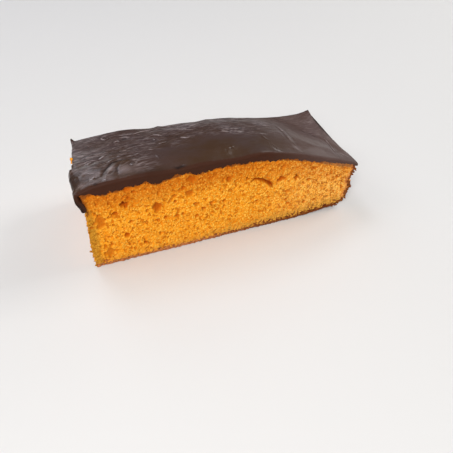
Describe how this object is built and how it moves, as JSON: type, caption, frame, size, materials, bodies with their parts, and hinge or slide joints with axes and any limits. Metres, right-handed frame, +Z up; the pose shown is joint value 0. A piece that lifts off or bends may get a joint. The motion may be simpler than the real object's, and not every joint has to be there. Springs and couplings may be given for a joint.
{
  "type": "carrot cake bar",
  "caption": "Bar of orange carrot cake under a poured chocolate layer, three sides cut to the open crumb and a crusted, rounded right end.",
  "frame": {"origin": "middle of the cake's box, on the surface it stands on", "axes": "+X along the bar from its cut end to its crusted end, +Y from the tall cut side to the lower one, +Z up"},
  "size_m": [0.1748, 0.0712, 0.0606],
  "materials": {
    "crumb": "matte, open orange crumb with a brown baked crust below and at the right end",
    "chocolate": "satin dark chocolate, wrinkled on top, darker where cut"
  },
  "bodies": {
    "root": {"sponge": "crumb", "icing": "chocolate"}
  },
  "joints": []
}
